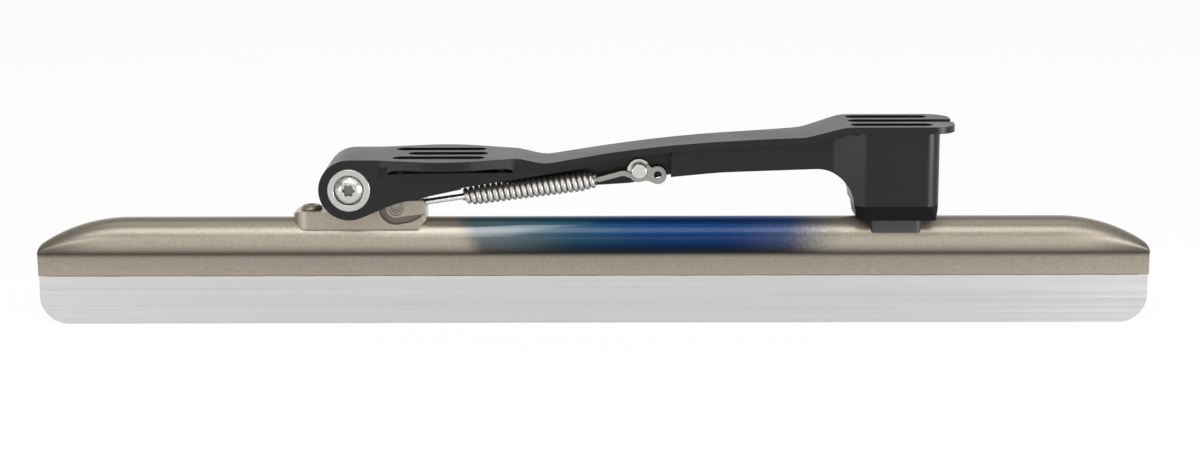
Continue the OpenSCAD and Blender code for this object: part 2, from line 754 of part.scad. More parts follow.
// Flat hook: a T-headed tail in the coil, a shank, an open seat under the spring pin and a pull tab
module hook_tail() {
    head_x = coil_end - 3 * coil_pitch - spring_len;
    knee_x = coil_end + wire_d - spring_len;
    head_half = coil_inner_end + 0.35;
    across = turned(unit(hook_join - [knee_x, 0]), 90) * shank_w / 2;
    polygon([[head_x, -head_half], [head_x + 1.6, -head_half], [head_x + 1.6, -tail_w / 2], [knee_x, -tail_w / 2],
        [knee_x + 0.6, -shank_w / 2], hook_join - across, hook_join + across, [knee_x + 0.6, shank_w / 2],
        [knee_x, tail_w / 2], [head_x + 1.6, tail_w / 2], [head_x + 1.6, head_half], [head_x, head_half]]);
}

module hook_band() {
    difference() {
        circle(hook_band_r);
        polygon([[0, 0], far * [cos(28), sin(28)], [far, far], [-far, far], far * [cos(190), sin(190)]]);
    }
}

module hook_web() {
    polygon([[0, -hook_band_r + 0.2], [hook_tab[0], hook_tab[1] - tab_r + 0.2],
        [hook_tab[0], hook_tab[1] + tab_r - 0.4], [hook_seat_r + 0.6, 1.6]]);
}

module spring_hook() {
    half = hook_t / 2;
    color("lightgray") at_spring() translate([spring_len, 0, 0]) difference() {
        union() {
            slab(-half, half) hook_tail();
            slab(-half, half) hook_band();
            slab(-half, half) hook_web();
            pin_y(hook_tab, tab_r, -half, half);
        }
        pin_y([0, 0], hook_seat_r, -far, far);
        pin_y(hook_tab, tab_hole_r, -far, far);
    }
}

runner();
blade_tube();
hinge_base();
base_screw();
rear_stop();
anchor_pin();
hinge_bush(left);  // hinge_bush_left
hinge_bush(right);  // hinge_bush_right
thrust_washer(left);  // thrust_washer_left
thrust_washer(right);  // thrust_washer_right
bridge();
hinge_axle();
axle_collar(left);  // axle_collar_left
axle_collar(right);  // axle_collar_right
axle_screw(left);  // axle_screw_left
axle_screw(right);  // axle_screw_right
heel_bumper();
spring_pin();
spring_rod();
spring_coil();
spring_hook();
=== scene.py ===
import bmesh
import bpy
import math
from mathutils import Matrix, Vector


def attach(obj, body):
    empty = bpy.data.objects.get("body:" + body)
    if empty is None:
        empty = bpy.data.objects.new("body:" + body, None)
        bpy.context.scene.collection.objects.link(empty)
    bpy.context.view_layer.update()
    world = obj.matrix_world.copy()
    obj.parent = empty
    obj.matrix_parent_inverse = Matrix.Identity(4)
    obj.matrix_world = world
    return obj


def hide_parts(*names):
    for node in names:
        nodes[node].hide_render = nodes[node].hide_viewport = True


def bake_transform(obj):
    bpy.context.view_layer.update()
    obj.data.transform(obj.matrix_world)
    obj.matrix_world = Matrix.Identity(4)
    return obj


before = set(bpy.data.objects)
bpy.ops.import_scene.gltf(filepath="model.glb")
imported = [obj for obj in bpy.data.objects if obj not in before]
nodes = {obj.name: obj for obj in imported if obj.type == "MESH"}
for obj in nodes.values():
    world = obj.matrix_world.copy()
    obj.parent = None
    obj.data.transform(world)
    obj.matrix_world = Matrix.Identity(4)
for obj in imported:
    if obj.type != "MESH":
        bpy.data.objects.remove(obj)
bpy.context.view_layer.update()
scene = bpy.context.scene
scene.view_settings.view_transform = "Standard"
print("frame loaded:", len(nodes), "solids")


# camera at the distance and height of the photograph
cameraView = {
    "target": (0.0024, 0.0, 0.0339),
    "elevation": 11.25,
    "distance": 0.885,
    "sensor": 36,
    "lens": 72.75,
    "clip": (0.01, 50),
    "tilt": -0.1,  # degrees, right side a little higher
}


def placeCamera(view):
    data = bpy.data.cameras.new("photoCamera")
    data.sensor_fit = "HORIZONTAL"
    data.sensor_width = view["sensor"]
    data.lens = view["lens"]
    data.clip_start, data.clip_end = view["clip"]
    camera = bpy.data.objects.new("photoCamera", data)
    scene.collection.objects.link(camera)
    rise = math.radians(view["elevation"])
    back = Vector((0, -math.cos(rise), math.sin(rise)))
    camera.location = Vector(view["target"]) + back * view["distance"]
    turn = (-back).to_track_quat("-Z", "Y").to_matrix().to_4x4()
    turn = turn @ Matrix.Rotation(math.radians(view["tilt"]), 4, "Z")
    camera.rotation_euler = turn.to_euler()
    scene.camera = camera


placeCamera(cameraView)
print("camera placed")


# small helpers for building node trees
def newMaterial(name):
    material = bpy.data.materials.new(name)
    material.use_nodes = True
    tree = material.node_tree
    tree.nodes.clear()
    return material, tree


def addNode(tree, kind, **values):
    node = tree.nodes.new(kind)
    for key, value in values.items():
        setattr(node, key, value)
    return node


def feed(tree, socket, value):
    if isinstance(value, bpy.types.NodeSocket):
        tree.links.new(value, socket)
    else:
        socket.default_value = value


def calc(tree, operation, a, b=0.0):
    node = addNode(tree, "ShaderNodeMath", operation=operation)
    feed(tree, node.inputs[0], a)
    feed(tree, node.inputs[1], b)
    return node.outputs[0]


def ramp(tree, value, low, high, toLow=0.0, toHigh=1.0, smooth=False):
    node = addNode(tree, "ShaderNodeMapRange", clamp=True)
    node.interpolation_type = "SMOOTHSTEP" if smooth else "LINEAR"
    for i, item in enumerate((value, low, high, toLow, toHigh)):
        feed(tree, node.inputs[i], item)
    return node.outputs[0]


def mixColour(tree, share, a, b, blend="MIX"):
    node = addNode(tree, "ShaderNodeMix", data_type="RGBA", blend_type=blend)
    feed(tree, node.inputs[0], share)
    for socket, item in ((node.inputs[6], a), (node.inputs[7], b)):
        feed(tree, socket, item if isinstance(item, bpy.types.NodeSocket) else (*item, 1.0))
    return node.outputs[2]


def stretched(tree, vector, scale):
    node = addNode(tree, "ShaderNodeVectorMath", operation="MULTIPLY")
    feed(tree, node.inputs[0], vector)
    feed(tree, node.inputs[1], scale)
    return node.outputs[0]


def noise(tree, vector, scale, detail, rough=0.5):
    node = addNode(tree, "ShaderNodeTexNoise")
    feed(tree, node.inputs["Vector"], vector)
    feed(tree, node.inputs["Scale"], scale)
    node.inputs["Detail"].default_value = detail
    node.inputs["Roughness"].default_value = rough
    return node.outputs["Fac"]


def objectVector(tree):
    return addNode(tree, "ShaderNodeTexCoord").outputs["Object"]


def axes(tree, vector):
    node = addNode(tree, "ShaderNodeSeparateXYZ")
    feed(tree, node.inputs[0], vector)
    return node.outputs


def newGroup(name, inputs, outputs):
    group = bpy.data.node_groups.new(name, "ShaderNodeTree")
    for label, kind, start in inputs:
        socket = group.interface.new_socket(label, in_out="INPUT", socket_type=kind)
        if start is not None:
            socket.default_value = start
    for label, kind in outputs:
        group.interface.new_socket(label, in_out="OUTPUT", socket_type=kind)
    return group, group.nodes.new("NodeGroupInput"), group.nodes.new("NodeGroupOutput")


def placeGroup(tree, group, **values):
    node = addNode(tree, "ShaderNodeGroup", node_tree=group)
    for label, value in values.items():
        feed(tree, node.inputs[label], value)
    return node


# metallic flakes in lacquer, also the fine grain of anodising and moulded parts
flakeMix = {"cells": 0.6, "cloud": 0.4, "cloudScale": 0.35, "cloudDetail": 3.0}


def swingRound(group, value, amount):
    return calc(group, "MULTIPLY", calc(group, "SUBTRACT", value, 0.5), amount)


def makeFlakeGroup(mix):
    group, start, end = newGroup(
        "fineFlakes",
        [("Vector", "NodeSocketVector", None), ("Scale", "NodeSocketFloat", 4000.0),
         ("Amount", "NodeSocketFloat", 0.2)],
        [("Shade", "NodeSocketFloat"), ("Height", "NodeSocketFloat")],
    )
    cells = addNode(group, "ShaderNodeTexVoronoi")
    feed(group, cells.inputs["Vector"], start.outputs["Vector"])
    feed(group, cells.inputs["Scale"], start.outputs["Scale"])
    grey = addNode(group, "ShaderNodeRGBToBW")
    feed(group, grey.inputs[0], cells.outputs["Color"])
    cloudScale = calc(group, "MULTIPLY", start.outputs["Scale"], mix["cloudScale"])
    cloud = noise(group, start.outputs["Vector"], cloudScale, mix["cloudDetail"])
    cellPart = calc(group, "MULTIPLY", grey.outputs[0], mix["cells"])
    both = calc(group, "ADD", cellPart, calc(group, "MULTIPLY", cloud, mix["cloud"]))
    swing = swingRound(group, both, start.outputs["Amount"])
    feed(group, end.inputs["Shade"], calc(group, "ADD", swing, 1.0))
    feed(group, end.inputs["Height"], both)
    return group


# lines left by grinding or drawing, along the axis with the small scale
grindMix = {
    "fine": 0.6,
    "fineDetail": 4.0,
    "fineRough": 0.6,
    "broad": 0.4,
    "broadDetail": 2.0,
    "broadStretch": (0.5, 0.16, 0.16),
    "spread": 1.5,
}


def makeGrindGroup(mix):
    group, start, end = newGroup(
        "grindLines",
        [("Vector", "NodeSocketVector", None), ("Stretch", "NodeSocketVector", (6.0, 400.0, 1800.0)),
         ("Amount", "NodeSocketFloat", 0.1)],
        [("Shade", "NodeSocketFloat"), ("Spread", "NodeSocketFloat"), ("Height", "NodeSocketFloat")],
    )
    at = stretched(group, start.outputs["Vector"], start.outputs["Stretch"])
    fine = noise(group, at, 1.0, mix["fineDetail"], mix["fineRough"])
    broad = noise(group, stretched(group, at, mix["broadStretch"]), 1.0, mix["broadDetail"])
    finePart = calc(group, "MULTIPLY", fine, mix["fine"])
    both = calc(group, "ADD", finePart, calc(group, "MULTIPLY", broad, mix["broad"]))
    swing = swingRound(group, both, start.outputs["Amount"])
    feed(group, end.inputs["Shade"], calc(group, "ADD", swing, 1.0))
    feed(group, end.inputs["Spread"], calc(group, "MULTIPLY", swing, mix["spread"]))
    feed(group, end.inputs["Height"], both)
    return group


# soft cloudy differences left by handling and wiping
handledDetail = 5.0


def makeHandledGroup(detail):
    group, start, end = newGroup(
        "handledSurface",
        [("Vector", "NodeSocketVector", None), ("Scale", "NodeSocketFloat", 60.0),
         ("Amount", "NodeSocketFloat", 0.1)],
        [("Spread", "NodeSocketFloat")],
    )
    cloud = noise(group, start.outputs["Vector"], start.outputs["Scale"], detail)
    feed(group, end.inputs["Spread"], swingRound(group, cloud, start.outputs["Amount"]))
    return group


# painted shade in a sunk place round a cross axis, darker the deeper it lies
def makeSunkGroup():
    group, start, end = newGroup(
        "sunkShade",
        [("Vector", "NodeSocketVector", None), ("Centre", "NodeSocketVector", (0.0, 0.0, 0.0)),
         ("Radius", "NodeSocketFloat", 0.003), ("Outer", "NodeSocketFloat", 0.007),
         ("Inner", "NodeSocketFloat", 0.006), ("Ceiling", "NodeSocketFloat", 1.0),
         ("Darkest", "NodeSocketFloat", 0.4)],
        [("Shade", "NodeSocketFloat")],
    )
    offset = addNode(group, "ShaderNodeVectorMath", operation="SUBTRACT")
    feed(group, offset.inputs[0], start.outputs["Vector"])
    feed(group, offset.inputs[1], start.outputs["Centre"])
    _, y, z = axes(group, start.outputs["Vector"])
    span = addNode(group, "ShaderNodeVectorMath", operation="LENGTH")
    feed(group, span.inputs[0], stretched(group, offset.outputs[0], (1.0, 0.0, 1.0)))
    near = calc(group, "LESS_THAN", span.outputs["Value"], start.outputs["Radius"])
    near = calc(group, "MULTIPLY", near, calc(group, "LESS_THAN", z, start.outputs["Ceiling"]))
    deep = ramp(group, calc(group, "ABSOLUTE", y), start.outputs["Outer"], start.outputs["Inner"])
    loss = calc(group, "SUBTRACT", 1.0, start.outputs["Darkest"])
    # painted shade: the colour lost deep in the sunk place
    paintedShade = calc(group, "MULTIPLY", calc(group, "MULTIPLY", near, deep), loss)
    feed(group, end.inputs["Shade"], calc(group, "SUBTRACT", 1.0, paintedShade))
    return group


flakeGroup = makeFlakeGroup(flakeMix)
grindGroup = makeGrindGroup(grindMix)
handledGroup = makeHandledGroup(handledDetail)
sunkGroup = makeSunkGroup()
print("shared surface effects built")


def shadeBy(tree, colour, shade):
    grey = addNode(tree, "ShaderNodeCombineColor")
    for i in range(3):
        feed(tree, grey.inputs[i], shade)
    return mixColour(tree, 1.0, colour, grey.outputs[0], "MULTIPLY")


def finishMaterial(tree, colour, rough, metal, height, bump, reach, coat=0.0, coatRough=0.1, coatIor=1.5,
                   specular=0.5):
    shader = addNode(tree, "ShaderNodeBsdfPrincipled")
    feed(tree, shader.inputs["Base Color"], colour)
    feed(tree, shader.inputs["Roughness"], rough)
    feed(tree, shader.inputs["Metallic"], metal)
    feed(tree, shader.inputs["Coat Weight"], coat)
    shader.inputs["Coat Roughness"].default_value = coatRough
    shader.inputs["Coat IOR"].default_value = coatIor
    shader.inputs["Specular IOR Level"].default_value = specular
    relief = addNode(tree, "ShaderNodeBump")
    relief.inputs["Strength"].default_value = bump
    relief.inputs["Distance"].default_value = reach
    feed(tree, relief.inputs["Height"], height)
    feed(tree, shader.inputs["Normal"], relief.outputs[0])
    output = addNode(tree, "ShaderNodeOutputMaterial")
    feed(tree, output.inputs["Surface"], shader.outputs[0])


# champagne lacquer over the tube and base; the tube also has the blue fade, sprayed on with a soft mist;
# places are metres along the blade or up from its edge
tubeLacquer = {
    "champagne": (0.405, 0.355, 0.287),
    "base": (0.35, 0.307, 0.25),
    # painted shade: the holder's legs darker at the top under the tube and lighter at the foot
    "legTop": (0.285, 0.249, 0.206),
    "legFoot": (0.345, 0.304, 0.252),
    "legShades": (0.018, 0.0255),
    "flakeSize": 2300.0,
    "flakes": 0.42,
    "wipedSize": 45.0,
    "wiped": 0.1,
    "rough": 0.35,
    "metal": 0.75,
    "coat": 0.27,
    "coatRough": 0.08,
    "coatIor": 1.7,
    "coatThins": (0.0305, 0.035, 0.08),  # from the groove up, and the share left at the groove
    "bump": 0.2,
    "bumpReach": 0.00005,
    "crease": 0.0262,
    "creaseBlend": 0.0006,
    "creaseReach": 0.0052,
    "creaseShade": 0.38,
    "legCrease": 3.0,  # how much sooner the crease ends on the legs
    "noseShade": (0.176, 0.2, 0.56),  # from, to, share of the colour left at the tip
    "noseRough": 0.3,
    "teal": (0.012, 0.068, 0.108),
    "navy": (0.006, 0.038, 0.14),
    "tealToNavy": (-0.02, 0.025),
    "mistIn": ((-0.0495, -0.0405, 0.75), (-0.046, -0.004, 0.25)),  # from, to, share of the colour
    "mistOut": ((0.068, 0.0925, 0.85), (0.046, 0.084, 0.15)),
    "mistGrain": 0.006,
    "slant": 0.42,
    "slantFrom": 0.0328,
    "blueMetal": 1.0,
    "blueRough": 0.46,
    "blueShadedLow": (0.0275, 0.0345, 0.42),  # painted shade, darker towards the groove: from the groove up, and the share left at the groove
    "blueLitTop": (0.0362, 0.0388, 2.5),  # painted light, brighter from here up to the ridge
    "tealCoat": 0.72,
    "navyCoat": 0.42,
    "coatFades": (-0.026, 0.026),
    "coatFull": 0.6,  # share of blue that has the blue's own coat
    # painted shade in the fork's groove round the anchor pin, on the base lacquer
    "groove": {"Centre": (-0.0713, 0.0, 0.0444), "Radius": 0.0095, "Outer": 0.0071, "Inner": 0.0058,
               "Ceiling": 0.0462, "Darkest": 0.4},
}


def sprayed(tree, place, mist, falling):
    ends = (1.0, 0.0) if falling else (0.0, 1.0)
    layers = []
    for begin, end, share in mist:
        layers.append(calc(tree, "MULTIPLY", ramp(tree, place, begin, end, *ends, True), share))
    return calc(tree, "ADD", *layers)


def blueFade(tree, look, x, z):
    blue = mixColour(tree, ramp(tree, x, *look["tealToNavy"], smooth=True), look["teal"], look["navy"])
    # painted shade on the blue towards the groove
    low, high, left = look["blueShadedLow"]
    blue = shadeBy(tree, blue, ramp(tree, z, low, high, left, 1.0, True))
    # painted light on the blue's upper side
    low, high, lift = look["blueLitTop"]
    return shadeBy(tree, blue, ramp(tree, z, low, high, 1.0, lift, True))


def blueMist(tree, look, x, z, grain):
    along = calc(tree, "ADD", x, swingRound(tree, grain, look["mistGrain"]))
    lean = calc(tree, "MULTIPLY", calc(tree, "SUBTRACT", z, look["slantFrom"]), look["slant"])
    begin = sprayed(tree, calc(tree, "ADD", along, lean), look["mistIn"], False)
    finish = sprayed(tree, along, look["mistOut"], True)
    return calc(tree, "MULTIPLY", begin, finish)


def creaseShade(tree, look, z):
    above = calc(tree, "SUBTRACT", z, look["crease"])
    away = calc(tree, "MAXIMUM", above, calc(tree, "MULTIPLY", above, -look["legCrease"]))
    return ramp(tree, away, 0.0, look["creaseReach"], look["creaseShade"], 1.0, True)


def noseShade(tree, look, x):
    begin, end, left = look["noseShade"]
    return ramp(tree, calc(tree, "ABSOLUTE", x), begin, end, 0.0, 1.0 - left, True)


def makeLacquer(name, look, withFade):
    material, tree = newMaterial(name)
    vector = objectVector(tree)
    flakes = placeGroup(tree, flakeGroup, Vector=vector, Scale=look["flakeSize"], Amount=look["flakes"])
    wiped = placeGroup(tree, handledGroup, Vector=vector, Scale=look["wipedSize"], Amount=look["wiped"])
    colour, metal, coat, rough = look["base"], look["metal"], look["coat"], look["rough"]
    if withFade:
        x, _, z = axes(tree, vector)
        onTube = ramp(tree, z, look["crease"], look["crease"] + look["creaseBlend"])
        blueShare = calc(tree, "MULTIPLY", blueMist(tree, look, x, z, flakes.outputs["Height"]), onTube)
        # painted shade on the legs, darker under the tube
        leg = mixColour(tree, ramp(tree, z, *look["legShades"]), look["legFoot"], look["legTop"])
        plain = mixColour(tree, onTube, leg, look["champagne"])
        colour = mixColour(tree, blueShare, plain, blueFade(tree, look, x, z))
        metal = ramp(tree, blueShare, 0.0, 1.0, look["metal"], look["blueMetal"])
        rough = ramp(tree, blueShare, 0.0, 1.0, look["rough"], look["blueRough"])
        blueCoat = ramp(tree, x, *look["coatFades"], look["tealCoat"], look["navyCoat"], True)
        coat = ramp(tree, blueShare, 0.0, look["coatFull"], look["coat"], blueCoat)
        low, high, left = look["coatThins"]
        coat = calc(tree, "MULTIPLY", coat, ramp(tree, z, low, high, left, 1.0, True))
        tip = calc(tree, "MULTIPLY", noseShade(tree, look, x), onTube)
        colour = shadeBy(tree, colour, calc(tree, "SUBTRACT", 1.0, tip))
        rough = calc(tree, "ADD", rough, calc(tree, "MULTIPLY", tip, look["noseRough"]))
        colour = shadeBy(tree, colour, creaseShade(tree, look, z))
    else:
        # painted shade in the groove of the fork
        sunk = placeGroup(tree, sunkGroup, Vector=vector, **look["groove"])
        colour = shadeBy(tree, colour, sunk.outputs["Shade"])
    colour = shadeBy(tree, colour, flakes.outputs["Shade"])
    rough = calc(tree, "ADD", rough, wiped.outputs["Spread"])
    finishMaterial(tree, colour, rough, metal, flakes.outputs["Height"], look["bump"], look["bumpReach"],
                   coat, look["coatRough"], look["coatIor"])
    return material


# steel finishes; stretch gives the direction of the lines
steelLooks = {
    "runnerSteel": {"colour": (0.604, 0.601, 0.591), "rough": 0.33, "stretch": (5.0, 500.0, 1300.0), "lines": 0.4},
    "pinSteel": {"colour": (0.62, 0.61, 0.59), "rough": 0.26, "stretch": (1500.0, 300.0, 1500.0), "lines": 0.12},
    "collarSteel": {"colour": (0.53, 0.52, 0.497), "rough": 0.36, "stretch": (1200.0, 300.0, 1200.0),
                    "lines": 0.08},
    "rodSteel": {"colour": (0.66, 0.66, 0.655), "rough": 0.14, "stretch": (60.0, 900.0, 900.0), "lines": 0.08},
    "screwSteel": {"colour": (0.6, 0.585, 0.56), "rough": 0.3, "stretch": (1500.0, 300.0, 1500.0), "lines": 0.12,
                   # painted shade deep in the six-lobe socket of the axle screws
                   "socket": {"Centre": (-0.0874, 0.0, 0.0522), "Radius": 0.0027, "Outer": 0.0162,
                              "Inner": 0.0150, "Ceiling": 1.0, "Darkest": 0.3}},
    "baseScrewSteel": {"colour": (0.37, 0.32, 0.26), "rough": 0.4, "stretch": (900.0, 900.0, 900.0),
                       "lines": 0.14},
    "springSteel": {"colour": (0.56, 0.545, 0.51), "rough": 0.4, "stretch": (900.0, 900.0, 900.0), "lines": 0.14},
    "hookSteel": {"colour": (0.33, 0.32, 0.305), "rough": 0.42, "stretch": (700.0, 700.0, 700.0), "lines": 0.16},
}
steelWear = {"wipedSize": 70.0, "wiped": 0.12, "bump": 0.08, "bumpReach": 0.00003}


def makeSteel(name, look, wear):
    material, tree = newMaterial(name)
    vector = objectVector(tree)
    lines = placeGroup(tree, grindGroup, Vector=vector, Stretch=look["stretch"], Amount=look["lines"])
    wiped = placeGroup(tree, handledGroup, Vector=vector, Scale=wear["wipedSize"], Amount=wear["wiped"])
    colour = shadeBy(tree, look["colour"], lines.outputs["Shade"])
    # painted shade in the screw socket
    if "socket" in look:
        sunk = placeGroup(tree, sunkGroup, Vector=vector, **look["socket"])
        colour = shadeBy(tree, colour, sunk.outputs["Shade"])
    rough = calc(tree, "ADD", calc(tree, "ADD", look["rough"], lines.outputs["Spread"]), wiped.outputs["Spread"])
    finishMaterial(tree, colour, rough, 1.0, lines.outputs["Height"], wear["bump"], wear["bumpReach"])
    return material


# other finishes: anodised bridge, moulded stop, rubber cap, bearing bronze, adhesive darkened as painted shadow
grainLooks = {
    "blackAnodised": {"colour": (0.0055, 0.0054, 0.0054), "rough": 0.34, "metal": 0.0, "grain": 6500.0,
                      "flakes": 0.3, "bump": 0.1, "specular": 0.33},
    "mouldedGrey": {"colour": (0.037, 0.0375, 0.041), "rough": 0.48, "metal": 0.0, "grain": 3200.0,
                    "flakes": 0.25, "bump": 0.2, "specular": 0.5},
    "capRubber": {"colour": (0.005, 0.005, 0.0052), "rough": 0.42, "metal": 0.0, "grain": 2600.0,
                  "flakes": 0.3, "bump": 0.15, "specular": 0.1},
    "bearingBronze": {"colour": (0.45, 0.3, 0.14), "rough": 0.36, "metal": 1.0, "grain": 3000.0,
                      "flakes": 0.2, "bump": 0.1, "specular": 0.5},
    # partly painted shadow: the adhesive's dark colour also stands in for the shadow line under the holder
    "glueAndShadowLine": {"colour": (0.05, 0.055, 0.07), "rough": 0.4, "metal": 0.0, "grain": 2400.0,
                 "flakes": 0.3, "bump": 0.1, "specular": 0.5},
}
grainWear = {"wipedSize": 38.0, "wiped": 0.16, "bumpReach": 0.00003}


def makeGrained(name, look, wear):
    material, tree = newMaterial(name)
    vector = objectVector(tree)
    grain = placeGroup(tree, flakeGroup, Vector=vector, Scale=look["grain"], Amount=look["flakes"])
    wiped = placeGroup(tree, handledGroup, Vector=vector, Scale=wear["wipedSize"], Amount=wear["wiped"])
    colour = shadeBy(tree, look["colour"], grain.outputs["Shade"])
    rough = calc(tree, "ADD", look["rough"], wiped.outputs["Spread"])
    finishMaterial(tree, colour, rough, look["metal"], grain.outputs["Height"], look["bump"], wear["bumpReach"],
                   specular=look["specular"])
    return material


materials = {"tubeLacquer": makeLacquer("tubeLacquer", tubeLacquer, True),
             "baseLacquer": makeLacquer("baseLacquer", tubeLacquer, False)}
materials.update({name: makeSteel(name, look, steelWear) for name, look in steelLooks.items()})
materials.update({name: makeGrained(name, look, grainWear) for name, look in grainLooks.items()})
print("finishes made:", len(materials))


# each solid's finish, and the width of the break on its sharp edges
dressing = {
    "runner": ("runnerSteel", 0.00012),
    "hinge_base": ("baseLacquer", 0.0004),
    "base_screw": ("baseScrewSteel", 0.00012),
    "rear_stop": ("mouldedGrey", 0.0004),
    # painted shade: the anchor pin wears the darker hook steel, standing for the shade in its hole
    "anchor_pin": ("hookSteel", 0.0001),
    "hinge_bush_left": ("bearingBronze", 0.0),
    "hinge_bush_right": ("bearingBronze", 0.0),
    "thrust_washer_left": ("bearingBronze", 0.0),
    "thrust_washer_right": ("bearingBronze", 0.0),
    "bridge": ("blackAnodised", 0.00028),
    "hinge_axle": ("pinSteel", 0.0),
    "axle_collar_left": ("collarSteel", 0.0001),
    "axle_collar_right": ("collarSteel", 0.0001),
    "axle_screw_left": ("screwSteel", 0.00012),
    "axle_screw_right": ("screwSteel", 0.00012),
    "heel_bumper": ("capRubber", 0.0003),
    "spring_pin": ("pinSteel", 0.00012),
    "spring_rod": ("rodSteel", 0.00012),
}
edgeBreak = {"weld": 0.000004, "flat": 0.4, "segments": 2, "sharp": 32}


def shadeEvenly(piece):
    shading = piece.modifiers.new("evenShading", "WEIGHTED_NORMAL")
    shading.keep_sharp = True


def dressSolid(name, finish, breakWidth, edge):
    solid = nodes[name]
    solid.data.materials.clear()
    solid.data.materials.append(materials[finish])
    for face in solid.data.polygons:
        face.use_smooth = True
        face.material_index = 0
    weld = solid.modifiers.new("weld", "WELD")
    weld.merge_threshold = edge["weld"]
    if breakWidth:
        flatten = solid.modifiers.new("flatten", "DECIMATE")
        flatten.decimate_type = "DISSOLVE"
        flatten.angle_limit = math.radians(edge["flat"])
        brokenEdge = solid.modifiers.new("brokenEdge", "BEVEL")
        brokenEdge.width = breakWidth
        brokenEdge.segments = edge["segments"]
        brokenEdge.limit_method = "ANGLE"
        brokenEdge.angle_limit = math.radians(edge["sharp"])
        brokenEdge.use_clamp_overlap = True
    shadeEvenly(solid)


for solidName, (finishName, breakWidth) in dressing.items():
    dressSolid(solidName, finishName, breakWidth, edgeBreak)
print("solids dressed:", len(dressing))


# closed skin over a row of rings, each turning the same way
def skinRings(name, rings, finish):
    count = len(rings[0])
    points = [point for ring in rings for point in ring]
    faces = [tuple(reversed(range(count))), tuple(range(len(points) - count, len(points)))]
    for first in range(0, len(points) - count, count):
        for k in range(count):
            a, b = first + k, first + (k + 1) % count
            faces.append((a, b, b + count, a + count))
    mesh = bpy.data.meshes.new(name)
    mesh.from_pydata(points, [], faces)
    mesh.validate()
    for face in mesh.polygons:
        face.use_smooth = len(face.vertices) == 4
    mesh.materials.append(materials[finish])
    piece = bpy.data.objects.new(name, mesh)
    scene.collection.objects.link(piece)
    return piece


# tension spring, wound full and smooth over the plain wire of the frame
spring = {
    "anchor": (-0.0713, -0.0036, 0.0444028),
    "angle": 8.285177,
    "droop": 1.17,  # the coil hangs a little below the line from pin to pin
    "start": 0.025,
    "turns": 23,
    "pitch": 0.00206,
    "radius": 0.00272,
    "endRadius": 0.0021,
    "wire": 0.00186,
    "closing": 0.9,  # turns at each end before the coil widens
    "stepsPerTurn": 36,
    "sides": 14,
}


def springLine(s):
    return Matrix.Translation(s["anchor"]) @ Matrix.Rotation(math.radians(-s["angle"]), 4, "Y")


def springPoint(s, turn):
    fromEnd = min(turn, s["turns"] - turn)
    opened = min(1.0, max(0.0, fromEnd - s["closing"]))
    radius = s["endRadius"] + (s["radius"] - s["endRadius"]) * opened
    a = 2 * math.pi * turn
    return Vector((s["start"] + turn * s["pitch"], radius * math.cos(a), radius * math.sin(a)))


def windSpring(s):
    count = s["turns"] * s["stepsPerTurn"]
    path = [springPoint(s, i / s["stepsPerTurn"]) for i in range(count + 1)]
    path.insert(0, path[0] + (path[0] - path[1]).normalized() * s["wire"])
    path.append(path[-1] + (path[-1] - path[-2]).normalized() * s["wire"])
    front = Matrix.Translation((s["start"], 0, 0))
    droop = Matrix.Rotation(math.radians(s["droop"]), 4, "Y")
    place = springLine(s) @ front @ droop @ front.inverted()
    rings = []
    for i, centre in enumerate(path):
        heading = (path[min(i + 1, len(path) - 1)] - path[max(i - 1, 0)]).normalized()
        out = heading.cross(Vector((1, 0, 0))).normalized()
        up = out.cross(heading)
        turns = [2 * math.pi * k / s["sides"] for k in range(s["sides"])]
        wire = [s["wire"] / 2 * (math.cos(a) * out + math.sin(a) * up) for a in turns]
        rings.append([place @ (centre + offset) for offset in wire])
    coil = skinRings("tensionSpring", rings, "springSteel")
    ends = [place @ Vector((s["start"] + turn * s["pitch"], 0, 0)) for turn in (0, s["turns"])]
    return coil, *ends


tensionSpring, springFront, springRear = windSpring(spring)
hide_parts("spring_coil")
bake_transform(tensionSpring)
print("spring wound:", len(tensionSpring.data.polygons), "faces")


# flat hook, cut from strip: a T-headed tail in the coil, a cranked shank, an open seat and a pull tab;
# millimetres from the spring pin, along the spring and across it
pullHook = {
    "pinAt": 88.8266,
    "thickness": 1.6,
    "edge": 0.22,
    "edgeSteps": 2,
    "seam": 0.000001,  # metres
    "tail": ((-23.83, 1.6), (-22.23, 1.6), (-22.23, 0.7), (-15.6, 0.7), (-14.9, 0.95)),
    "bendUnder": ((-6.6, -1.0), (-5.8, -1.05), (-5.1, -1.3), (-4.5, -1.75)),
    "bendOver": ((-3.3, -0.3), (-4.2, 0.45), (-4.9, 0.82), (-5.7, 0.97), (-6.6, 0.98)),
    "seat": 2.45,
    "band": 4.05,
    "seatFrom": 28,
    "seatTo": -170,
    "bandFrom": -150,
    "bandTo": -72,
    "notchUnder": ((2.1, -3.95), (3.0, -4.2)),
    "notchOver": ((4.45, 0.8), (4.0, 1.35), (3.55, 2.0)),
    "tab": (6.4, -2.5),
    "tabRadius": 3.3,
    "tabFrom": -128,
    "tabTo": 118,
    "hole": 1.4,
    "arcStep": 7.5,
}


def arc(centre, radius, begin, end, step):
    count = max(2, round(abs(end - begin) / step))
    turns = [math.radians(begin + (end - begin) * i / count) for i in range(count + 1)]
    return [(centre[0] + radius * math.cos(a), centre[1] + radius * math.sin(a)) for a in turns]


def hookOutline(h, s):
    droop = math.tan(math.radians(s["droop"]))
    begin = s["start"] * 1000

    def onCoil(along, across):
        return along, across - (along + h["pinAt"] - begin) * droop

    step = h["arcStep"]
    outline = [onCoil(along, -half) for along, half in h["tail"]]
    outline += h["bendUnder"]
    outline += arc((0, 0), h["band"], h["bandFrom"], h["bandTo"], step)
    outline += h["notchUnder"]
    outline += arc(h["tab"], h["tabRadius"], h["tabFrom"], h["tabTo"], step)
    outline += h["notchOver"]
    outline += arc((0, 0), h["seat"], h["seatFrom"], h["seatTo"], step)
    outline += h["bendOver"]
    outline += [onCoil(along, half) for along, half in reversed(h["tail"])]
    return outline


